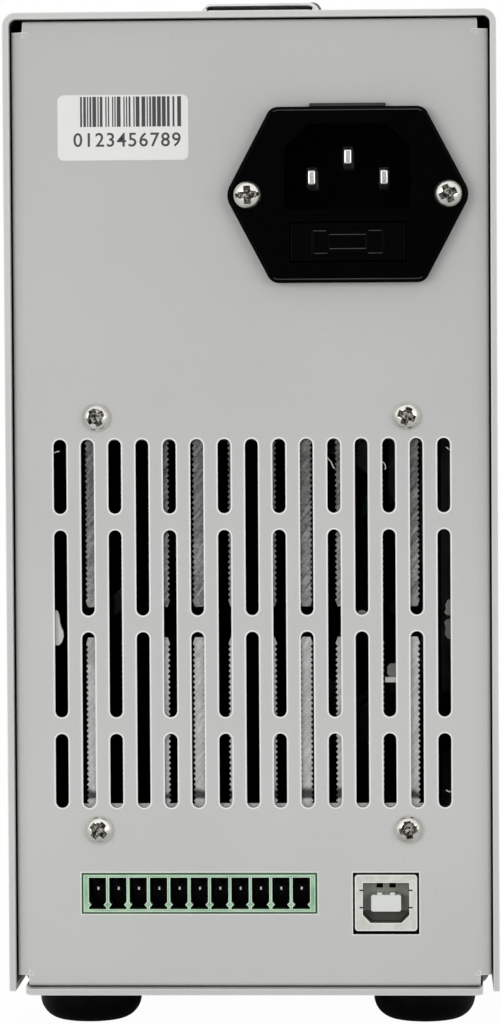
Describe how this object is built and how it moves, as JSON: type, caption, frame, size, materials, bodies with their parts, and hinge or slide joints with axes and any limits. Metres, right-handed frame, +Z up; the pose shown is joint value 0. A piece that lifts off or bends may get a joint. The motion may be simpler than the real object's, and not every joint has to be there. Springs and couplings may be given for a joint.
{
  "type": "dc electronic load",
  "caption": "Upright bench DC electronic load: steel case with slotted rear panel, heatsink air tunnel, mains inlet, signal header, strap handle, and a front with display, keys and posts.",
  "frame": {"origin": "on the surface that the feet stand on, under the middle of the whole part's box", "axes": "+Z up, front with display and posts faces -Y, rear panel with the inlet faces +Y"},
  "size_m": [0.095, 0.28, 0.209],
  "materials": {
    "cover_paint": "fine satin powder coat",
    "panel_paint": "fine satin powder coat",
    "bezel_plastic": "fine moulded texture",
    "zinc_sheet": "zinc plated",
    "foot_rubber": "matte",
    "screw_nickel": "nickel plated",
    "handle_chrome": "polished",
    "strap_vinyl": "grained",
    "inlet_plastic": "moulded",
    "pin_nickel": "plated",
    "fuse_glass": "clear tube with plated ends",
    "header_plastic": "moulded",
    "usb_steel": "tin plated",
    "tongue_plastic": "moulded",
    "board_laminate": "solder mask",
    "sink_aluminium": "extruded",
    "fan_plastic": "moulded",
    "chip_epoxy": "moulded",
    "pillar_brass": "turned",
    "supply_mix": "lacquered",
    "window_acrylic": "polished",
    "display_plastic": "moulded",
    "knob_plastic": "moulded",
    "encoder_metal": "plated",
    "switch_plastic": "moulded",
    "red_plastic": "moulded",
    "black_plastic": "moulded",
    "washer_steel": "nickel plated",
    "bus_copper": "rolled copper",
    "key_plastic": "moulded",
    "load_key_plastic": "moulded"
  },
  "bodies": {
    "chassis": {"top_cover": "cover_paint", "bottom_tray": "cover_paint", "rear_panel": "panel_paint", "front_bezel": "bezel_plastic", "front_frame": "zinc_sheet", "fan_bracket": "zinc_sheet", "rubber_feet": "foot_rubber", "case_screws": "screw_nickel", "rear_screws": "screw_nickel", "handle_caps": "handle_chrome", "inlet_body": "inlet_plastic", "inlet_pins": "pin_nickel", "header_pins": "pin_nickel", "signal_header": "header_plastic", "usb_shell": "usb_steel", "usb_tongue": "tongue_plastic", "interface_board": "board_laminate", "main_board": "board_laminate", "lower_board": "board_laminate", "front_board": "board_laminate", "heatsinks": "sink_aluminium", "fan_frame": "fan_plastic", "transistors": "chip_epoxy", "key_switches": "chip_epoxy", "pillars": "pillar_brass", "post_studs": "pillar_brass", "post_nuts": "pillar_brass", "supply_parts": "supply_mix", "display_window": "window_acrylic", "display_module": "display_plastic", "encoder_body": "encoder_metal", "rocker_frame": "switch_plastic", "post_base_red": "red_plastic", "post_base_black": "black_plastic", "sense_jacks": "black_plastic", "busbars": "bus_copper"},
    "fan": {"fan_rotor": "fan_plastic"},
    "encoder": {"encoder_rotor": "encoder_metal"},
    "knob": {"knob": "knob_plastic", "encoder_shaft": "encoder_metal"},
    "rocker": {"rocker": "switch_plastic"},
    "clamp_red": {"clamp_washer_red": "washer_steel"},
    "clamp_black": {"clamp_washer_black": "washer_steel"},
    "cap_red": {"post_cap_red": "red_plastic"},
    "cap_black": {"post_cap_black": "black_plastic"},
    "fuse_drawer": {"fuse_drawer": "inlet_plastic", "fuse": "fuse_glass"},
    "handle": {"handle_strap": "strap_vinyl"},
    "key_7": {"key_7": "key_plastic"},
    "key_8": {"key_8": "key_plastic"},
    "key_9": {"key_9": "key_plastic"},
    "key_4": {"key_4": "key_plastic"},
    "key_5": {"key_5": "key_plastic"},
    "key_6": {"key_6": "key_plastic"},
    "key_1": {"key_1": "key_plastic"},
    "key_2": {"key_2": "key_plastic"},
    "key_3": {"key_3": "key_plastic"},
    "key_0": {"key_0": "key_plastic"},
    "key_point": {"key_point": "key_plastic"},
    "key_load": {"key_load": "load_key_plastic"}
  },
  "joints": [
    {"name": "fan_spin", "type": "hinge", "parent": "chassis", "child": "fan", "pos_m": [0, -0.00775, 0.079], "axis": [0, 1, 0], "continuous": true},
    {"name": "knob_turn", "type": "hinge", "parent": "chassis", "child": "encoder", "pos_m": [0.024, -0.11635, 0.1105], "axis": [0, -1, 0], "continuous": true},
    {"name": "knob_push", "type": "slide", "parent": "encoder", "child": "knob", "axis": [0, 1, 0], "range_m": [0, 0.0006], "stiffness_N_per_m": 1200},
    {"name": "rocker_tilt", "type": "hinge", "parent": "chassis", "child": "rocker", "pos_m": [-0.029, -0.11585, 0.041], "axis": [-1, 0, 0], "range_deg": [0, 16]},
    {"name": "fuse_drawer_slide", "type": "slide", "parent": "chassis", "child": "fuse_drawer", "axis": [0, 1, 0], "range_m": [0, 0.02]},
    {"name": "handle_lift", "type": "slide", "parent": "chassis", "child": "handle", "axis": [0, 0, 1], "range_m": [0, 0.012], "stiffness_N_per_m": 400, "deforming": ["handle_strap"]},
    {"name": "red_clamp_slide", "type": "slide", "parent": "chassis", "child": "clamp_red", "axis": [0, -1, 0], "range_m": [0, 0.006]},
    {"name": "red_cap_turn", "type": "hinge", "parent": "clamp_red", "child": "cap_red", "pos_m": [0.028, -0.13905, 0.041], "axis": [0, -1, 0], "range_deg": [0, 2160]},
    {"name": "black_clamp_slide", "type": "slide", "parent": "chassis", "child": "clamp_black", "axis": [0, -1, 0], "range_m": [0, 0.006]},
    {"name": "black_cap_turn", "type": "hinge", "parent": "clamp_black", "child": "cap_black", "pos_m": [0, -0.13905, 0.041], "axis": [0, -1, 0], "range_deg": [0, 2160]},
    {"name": "key_7_press", "type": "slide", "parent": "chassis", "child": "key_7", "axis": [0, 1, 0], "range_m": [0, 0.001], "stiffness_N_per_m": 600},
    {"name": "key_8_press", "type": "slide", "parent": "chassis", "child": "key_8", "axis": [0, 1, 0], "range_m": [0, 0.001], "stiffness_N_per_m": 600},
    {"name": "key_9_press", "type": "slide", "parent": "chassis", "child": "key_9", "axis": [0, 1, 0], "range_m": [0, 0.001], "stiffness_N_per_m": 600},
    {"name": "key_4_press", "type": "slide", "parent": "chassis", "child": "key_4", "axis": [0, 1, 0], "range_m": [0, 0.001], "stiffness_N_per_m": 600},
    {"name": "key_5_press", "type": "slide", "parent": "chassis", "child": "key_5", "axis": [0, 1, 0], "range_m": [0, 0.001], "stiffness_N_per_m": 600},
    {"name": "key_6_press", "type": "slide", "parent": "chassis", "child": "key_6", "axis": [0, 1, 0], "range_m": [0, 0.001], "stiffness_N_per_m": 600},
    {"name": "key_1_press", "type": "slide", "parent": "chassis", "child": "key_1", "axis": [0, 1, 0], "range_m": [0, 0.001], "stiffness_N_per_m": 600},
    {"name": "key_2_press", "type": "slide", "parent": "chassis", "child": "key_2", "axis": [0, 1, 0], "range_m": [0, 0.001], "stiffness_N_per_m": 600},
    {"name": "key_3_press", "type": "slide", "parent": "chassis", "child": "key_3", "axis": [0, 1, 0], "range_m": [0, 0.001], "stiffness_N_per_m": 600},
    {"name": "key_0_press", "type": "slide", "parent": "chassis", "child": "key_0", "axis": [0, 1, 0], "range_m": [0, 0.001], "stiffness_N_per_m": 600},
    {"name": "key_point_press", "type": "slide", "parent": "chassis", "child": "key_point", "axis": [0, 1, 0], "range_m": [0, 0.001], "stiffness_N_per_m": 600},
    {"name": "key_load_press", "type": "slide", "parent": "chassis", "child": "key_load", "axis": [0, 1, 0], "range_m": [0, 0.001], "stiffness_N_per_m": 600}
  ],
  "couplings": [
    {"joint": "red_cap_turn", "follows": "red_clamp_slide", "rad_per_m": 6283.2},
    {"joint": "black_cap_turn", "follows": "black_clamp_slide", "rad_per_m": 6283.2}
  ]
}
